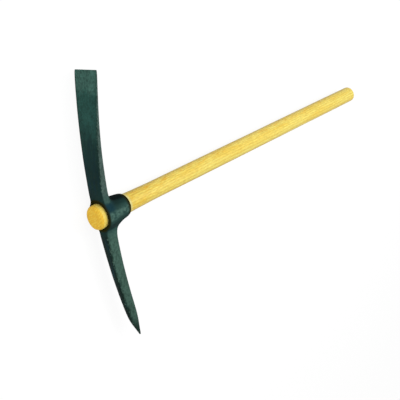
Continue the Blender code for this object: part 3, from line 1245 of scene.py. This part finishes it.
        # Painted light: lighter where the socket faces a flat side, and a painted highlight along the crest.
        tone = sheet.colour(sheet.ramp(flat, self.top_facing), self.collar, self.collar_top)
        crest = sheet.ramp(flat, self.crest_facing)
        beside = sheet.between(sheet.ramp(sheet.absolute(along), self.crest_along), self.crest_share)
        tone = sheet.colour(sheet.times(crest, beside, surface.patches(self.blotches)), tone, self.painted_sheen)
        near_blade = sheet.times(sheet.ramp(along, self.blue_along), sheet.ramp(along, self.blue_end))
        by_mouth = sheet.times(near_blade, sheet.ramp(surface.at.grip, self.blue_depth))
        blue = sheet.times(by_mouth, sheet.ramp(flat, self.blue_facing))
        blue = sheet.times(blue, sheet.between(crest, self.blue_share))
        return sheet.colour(blue, tone, self.blue)

    def nooks(self, surface: Surface, near_eye: Socket) -> tuple[Socket, Socket]:
        """Where painted shade darkens the nooks.

        Args:
            surface: The head's surface.
            near_eye: Mask of the eye socket.

        Returns:
            The mask of the painted shade in the crotches, and of the painted shade round the mouth and the
            rear rim.
        """
        sheet = surface.sheet
        depth = surface.at.grip
        from_axis = sheet.length(sheet.stretched(surface.place, ACROSS))
        # Painted shade round the bore's mouth and along the socket's rear rim.
        mouth = sheet.times(sheet.ramp(from_axis, self.mouth_radius), sheet.ramp(depth, self.mouth_depth))
        rim = sheet.times(near_eye, sheet.ramp(depth, self.rim_depth))
        # Painted shade where the socket turns into the arms' crotches.
        sideways = sheet.ramp(sheet.absolute(surface.faces.blade), self.crotch_facing)
        painted_crotch_shade = sheet.times(near_eye, sideways, sheet.ramp(depth, self.crotch_depth), self.crotch_share)
        return painted_crotch_shade, sheet.larger(mouth, rim)

    def flecked(self, surface: Surface, tone: Socket, flat: Socket, near_eye: Socket) -> Socket:
        """Lays dark flecks over a tone, and light chips along the arms' rounded corners.

        Args:
            surface: The head's surface.
            tone: The tone below.
            flat: How far a point faces one of the flat sides.
            near_eye: Mask of the eye socket.

        Returns:
            The flecked tone.
        """
        sheet = surface.sheet
        on_arms = sheet.minus(1.0, near_eye)
        corner = sheet.times(sheet.ramp(flat, self.corner_start), on_arms, sheet.ramp(flat, self.corner_end))
        flecks = sheet.larger(surface.patches(self.flecks), surface.patches(self.specks))
        spread = sheet.between(corner, self.fleck_share)
        flecks = sheet.times(flecks, spread, sheet.between(on_arms, self.socket_flecks))
        tone = sheet.colour(flecks, tone, self.fleck)
        chips = sheet.times(surface.patches(self.chips), corner, self.chip_share)
        return sheet.colour(chips, tone, self.chip)

    def lay(self, surface: Surface) -> None:
        """Lays the paint with its wear, painted sheen and painted shade, and the forging's skin below it.

        Args:
            surface: The head's surface.
        """
        sheet = surface.sheet
        flat = sheet.absolute(surface.faces.up)
        near_eye = sheet.ramp(sheet.absolute(surface.at.blade), self.socket_zone)
        tone = sheet.colour(near_eye, self.arm_tone(surface, flat), self.collar_tone(surface, flat))
        tone = self.flecked(surface, tone, flat, near_eye)
        clouds = surface.patches(self.clouds)
        tone = sheet.shaded(tone, sheet.between(clouds, self.shade))
        # Painted shade in the crotches, round the mouth and along the rear rim; these masks also dull the
        # paint.
        painted_crotch_shade, painted_mouth_and_rim_shade = self.nooks(surface, near_eye)
        tone = sheet.colour(painted_mouth_and_rim_shade, sheet.colour(painted_crotch_shade, tone, self.painted_crotch_shade), self.painted_mouth_and_rim_shade)
        dull = sheet.times(near_eye, self.socket_roughness)
        rough = sheet.larger(sheet.between(clouds, self.roughness), dull, painted_crotch_shade, painted_mouth_and_rim_shade)
        pits = sheet.times(surface.pits(self.scale_pits), self.pit_height)
        height = sheet.minus(surface.patches(self.peel), pits)
        height = sheet.plus(height, sheet.times(clouds, self.cloud_height))
        surface.finish(tone, rough, height, self.bump_depth)


@dataclass(frozen=True)
class Head:
    """The forged head: a smoothed cage of the socket and both arms, with the tapered bore."""

    eye: Eye
    blade: BladeArm
    point: PointArm
    smoothing: int = 3
    socket_rows: int = 2
    cap_share: float = 0.8
    bore_sides: int = 88
    bore_rows: int = 8
    lip_rows: int = 5
    cutter_margin: float = 0.004
    hammered: float = 0.00022
    hammering: float = 34.0
    merge: float = 0.00001
    sharp_angle: float = math.radians(38)

    def add_arm(self, made: bmesh.types.BMesh, root: Row, arm: Arm) -> None:
        """Carries an arm out from its root loop and closes it with a crisp end.

        Args:
            made: The mesh in the making.
            root: The arm's root loop.
            arm: The arm.
        """
        crease = made.edges.layers.float["crease_edge"]
        near = root
        for section in arm.sections():
            far = add_row(made, section)
            skin(made, near, far)
            near = far
        made.faces.new(near)
        for start, end in zip(near, near[1:]):
            made.edges.get((start, end))[crease] = 1.0

    def add_cap(self, made: bmesh.types.BMesh, rim: Row, x: float) -> None:
        """Closes a mouth of the socket with a flat ring and a middle that the bore takes away.

        Args:
            made: The mesh in the making.
            rim: The mouth's rim.
            x: Depth of the mouth.
        """
        inner = [Vector((x, vertex.co.y * self.cap_share, vertex.co.z * self.cap_share)) for vertex in rim]
        row = add_row(made, inner)
        skin(made, rim, row)
        made.faces.new(row)

    def add_mouth(self, made: bmesh.types.BMesh, blade_root: Row, point_root: Row) -> Row:
        """Adds the cheek beside the arms, and the outer mouth.

        Args:
            made: The mesh in the making.
            blade_root: The blade's root loop.
            point_root: The point's root loop.

        Returns:
            The cheek's innermost row.
        """
        eye = self.eye
        start = eye.turn_of(blade_root[EDGE].co)
        end = eye.turn_of(point_root[EDGE].co)
        turns = spaced(start, end, eye.cheek_columns)[:-1]
        depths = [mix(blade_root[BACK].co.x, point_root[BACK].co.x, turn / math.pi) for turn in turns]
        face = add_row(made, [eye.cage_point(0, turn, eye.mouth_rounding) for turn in turns])
        edge = add_row(made, [eye.cage_point(eye.mouth_rounding, turn) for turn in turns])
        back = add_row(made, [eye.cage_point(depth, turn) for depth, turn in zip(depths, turns)])
        face_row = [blade_root[FACE], *face, point_root[FACE]]
        edge_row = [blade_root[EDGE], *edge, point_root[EDGE]]
        skin(made, face_row, edge_row)
        skin(made, edge_row, [blade_root[BACK], *back, point_root[BACK]])
        self.add_cap(made, [blade_root[MIDDLE], *face_row, point_root[MIDDLE]], 0)
        return back

    def add_socket(self, made: bmesh.types.BMesh, blade_root: Row, point_root: Row) -> None:
        """Adds the oval cone between the arms, from the outer mouth to the rim towards the grip.

        Args:
            made: The mesh in the making.
            blade_root: The blade's root loop.
            point_root: The point's root loop.
        """
        eye = self.eye
        cheek = self.add_mouth(made, blade_root, point_root)
        near = [*reversed(blade_root[BACK:]), *cheek, *point_root[BACK:]]
        even_turns = [math.pi * column / (len(near) - 1) for column in range(len(near))]
        starts = []
        for vertex, even in zip(near, even_turns):
            crotch = mix(self.blade.crotch, self.point.crotch, even / math.pi)
            depth = mix(self.blade.root_depth, self.point.root_depth, even / math.pi)
            starts.append((depth, depth + crotch, eye.turn_of(vertex.co), even))
        side_end = eye.depth - eye.throat_rounding
        for step in range(self.socket_rows + 1):
            row = []
            for depth, fillet_end, turn, even in starts:
                x = mix(fillet_end, side_end, step / self.socket_rows)
                row.append(eye.cage_point(x, mix(turn, even, (x - depth) / (side_end - depth))))
            far = add_row(made, row)
            skin(made, near, far)
            near = far
        rim = add_row(made, [eye.cage_point(eye.depth, turn, eye.throat_rounding) for turn in even_turns])
        skin(made, near, rim)
        self.add_cap(made, rim, eye.depth)

    def bore_cutter(self) -> bpy.types.Object:
        """The tapered oval bore, with a rounded lip at its mouth.

        Returns:
            The solid that is cut out of the head.
        """
        eye = self.eye
        flare = eye.mouth_flare
        stations = [(-self.cutter_margin, flare)]
        for step in range(self.lip_rows):
            turn = QUARTER_TURN * step / self.lip_rows
            stations.append((flare * (1 - math.cos(turn)), flare * (1 - math.sin(turn))))
        inner_end = eye.depth - eye.throat_flare
        stations += [(x, 0.0) for x in (flare, *spaced(flare, inner_end, self.bore_rows))]
        stations += [(x, eye.throat_flare) for x in (eye.depth, eye.depth + self.cutter_margin)]
        made = bmesh.new()
        rings = [eye.handle.ring(x, eye.clearance + flared, self.bore_sides) for x, flared in stations]
        loops = loft(made, rings)
        for end in (loops[0], loops[-1]):
            made.faces.new(end)
        return object_from_bmesh("bore_cutter", made)

    def hammer(self, head: bpy.types.Object) -> None:
        """Dents the skin of the forging very slightly inwards.

        Args:
            head: The head before the bore is cut.
        """
        normals = [vertex.normal.copy() for vertex in head.data.vertices]
        for vertex, normal in zip(head.data.vertices, normals):
            vertex.co += normal * dent(vertex.co * self.hammering) * self.hammered

    def build(self) -> bpy.types.Object:
        """Smooths the cage, dents its skin and cuts the bore through it.

        Returns:
            The head, in the head frame.
        """
        made = bmesh.new()
        made.edges.layers.float.new("crease_edge")
        blade_root = add_row(made, self.blade.root_loop())
        point_root = add_row(made, self.point.root_loop())
        self.add_socket(made, blade_root, point_root)
        self.add_arm(made, blade_root, self.blade)
        self.add_arm(made, point_root, self.point)
        head = object_from_bmesh("forged_head", made)
        mirror = head.modifiers.new("both flat sides", "MIRROR")
        mirror.use_axis = (False, False, True)
        mirror.merge_threshold = self.merge
        smooth = head.modifiers.new("forged surface", "SUBSURF")
        smooth.levels = self.smoothing
        smooth.render_levels = self.smoothing
        apply_modifiers(head)
        self.hammer(head)
        cutter = self.bore_cutter()
        bore = head.modifiers.new("tapered bore", "BOOLEAN")
        bore.operation = "DIFFERENCE"
        bore.solver = "EXACT"
        bore.object = cutter
        apply_modifiers(head)
        bpy.data.objects.remove(cutter, do_unlink=True)
        head.data.shade_smooth()
        head.data.set_sharp_from_angle(angle=self.sharp_angle)
        return head

    def dress(self, head: bpy.types.Object, effects: SharedEffects) -> None:
        """Paints the whole forging."""
        paint = ForgePaint(blade=self.blade, point=self.point)
        head.data.materials.append(paint.build(effects))


@dataclass(frozen=True)
class Softbox:
    """A square area lamp that faces the tool, with its brightness per area."""

    name: str
    towards: Triple
    distance: float
    size: float
    brightness: float

    def build(self, aim: Vector) -> None:
        """Hangs the lamp in its direction from the aim.

        Args:
            aim: The point that it faces.
        """
        lamp = bpy.data.lights.new(self.name, "AREA")
        lamp.size = self.size
        lamp.energy = self.brightness * math.pi * self.size**2
        item = bpy.data.objects.new(self.name, lamp)
        away = Vector(self.towards).normalized()
        item.location = aim + away * self.distance
        item.rotation_euler = away.to_track_quat("Z", "Y").to_euler()
        item.visible_camera = False
        bpy.context.scene.collection.objects.link(item)


@dataclass(frozen=True)
class Studio:
    """The pale floor, the white room and the soft lamps."""

    floor_size: float = 30.0
    floor_drop: float = 0.0002
    floor_tint: Colour = (0.80, 0.80, 0.80)
    shadow_tint: Colour = (0.13, 0.13, 0.13)
    background: Span = (0.90, 1.0)
    fade: Span = (0.9, 3.0)
    room: Span = (0.30, 1.0)
    boxes: tuple[Softbox, ...] = (
        Softbox("overhead", (0.12, 0.45, 1.0), 1.7, 1.3, 2.2),
        Softbox("front", (-0.90, 0.05, 0.42), 1.7, 0.9, 4.2),
        Softbox("glint", (0.62, 0.12, 0.80), 1.8, 0.7, 7.2),
    )

    @staticmethod
    def seen_directly(sheet: ShaderSheet) -> Socket:
        """1 for rays from the camera, or mirrored or let through on their way from it."""
        rays = sheet.add("ShaderNodeLightPath").outputs
        return sheet.larger(rays["Is Camera Ray"], rays["Is Glossy Ray"], rays["Is Transmission Ray"])

    def dress_floor(self) -> bpy.types.Material:
        """Makes the floor's material, which looks white and keeps the tool's shadow.

        Returns:
            The material. To rays that light the tool it is plain and pale.
        """
        material = bpy.data.materials.new("pale_floor")
        material.use_nodes = True
        nodes = material.node_tree.nodes
        sheet = ShaderSheet(material.node_tree)
        dull = {"Base Color": opaque(self.floor_tint), "Roughness": 1.0, "Specular IOR Level": 0.0}
        plain = sheet.fill(nodes["Principled BSDF"], dull)
        shadow = sheet.add("ShaderNodeBsdfDiffuse", {"Color": opaque(self.shadow_tint)})
        faded = sheet.ramp(sheet.length(sheet.add("ShaderNodeTexCoord").outputs["Object"]), self.fade)
        glow = sheet.add("ShaderNodeEmission", {"Strength": sheet.between(faded, self.background)})
        seen = sheet.add("ShaderNodeAddShader", {0: shadow.outputs[0], 1: glow.outputs[0]})
        given = {0: self.seen_directly(sheet), 1: plain.outputs[0], 2: seen.outputs[0]}
        choice = sheet.add("ShaderNodeMixShader", given)
        sheet.fill(nodes["Material Output"], {"Surface": choice.outputs[0]})
        return material

    def build_floor(self) -> None:
        """Lays the floor just below the tool."""
        half = self.floor_size / 2
        made = bmesh.new()
        corners = ((-half, -half), (half, -half), (half, half), (-half, half))
        made.faces.new(add_row(made, [Vector((x, y, -self.floor_drop)) for x, y in corners]))
        floor = object_from_bmesh("studio_floor", made)
        floor.data.materials.append(self.dress_floor())

    def build_room(self) -> None:
        """Fills the room with even light and shows it as white."""
        world = bpy.data.worlds.new("studio_room")
        world.use_nodes = True
        sheet = ShaderSheet(world.node_tree)
        strength = sheet.between(self.seen_directly(sheet), self.room)
        sheet.fill(world.node_tree.nodes["Background"], {"Color": opaque(WHITE), "Strength": strength})
        bpy.context.scene.world = world

    def build(self, aim: Vector) -> None:
        """Builds the floor, the room and the lamps.

        Args:
            aim: The point that the lamps face.
        """
        self.build_floor()
        self.build_room()
        for box in self.boxes:
            box.build(aim)


@dataclass(frozen=True)
class ProductCamera:
    """The photograph's view, fixed to the head frame."""

    place: Triple = (-0.9191, 0.5317, 1.1636)
    back: Triple = (-0.67424, 0.33925, 0.65606)
    up: Triple = (0.34688, 0.92960, -0.12427)
    focal_pixels: float = 828.5
    sensor: float = 36.0

    def build(self, origin: Vector) -> None:
        """Sets up the camera and makes it the scene's own.

        Args:
            origin: The head frame's origin.
        """
        back = Vector(self.back).normalized()
        right = Vector(self.up).cross(back).normalized()
        data = bpy.data.cameras.new("product_camera")
        data.sensor_width = self.sensor
        data.lens = self.focal_pixels * self.sensor / PHOTO_PIXELS
        camera = bpy.data.objects.new("product_camera", data)
        turn = Matrix((right, back.cross(right), back)).transposed().to_4x4()
        camera.matrix_world = Matrix.Translation(origin + Vector(self.place)) @ turn
        bpy.context.scene.collection.objects.link(camera)
        bpy.context.scene.camera = camera


def main() -> None:
    """Builds the head, the handle, the studio and the camera, and logs each piece's faces."""
    logging.basicConfig(level=logging.INFO)
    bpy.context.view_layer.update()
    shape = HandleShape()
    origin = shape.mouth_centre()
    effects = SharedEffects()
    eye = Eye(shape)
    forging = Head(eye, BladeArm(eye), PointArm(eye))
    head = forging.build()
    forging.dress(head, effects)
    stick = Handle(shape)
    handle = stick.build()
    stick.dress(handle, effects)
    for piece, node, slot in ((head, "head", "green_paint"), (handle, "handle", "yellow_ash")):
        piece.location = origin
        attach(piece, node)
        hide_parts(node)
        log.info("%s: %d faces", piece.name, len(piece.data.polygons))
    Studio().build(origin)
    ProductCamera().build(origin)
    bpy.context.scene.view_settings.view_transform = "Standard"


if __name__ == "__main__":
    main()
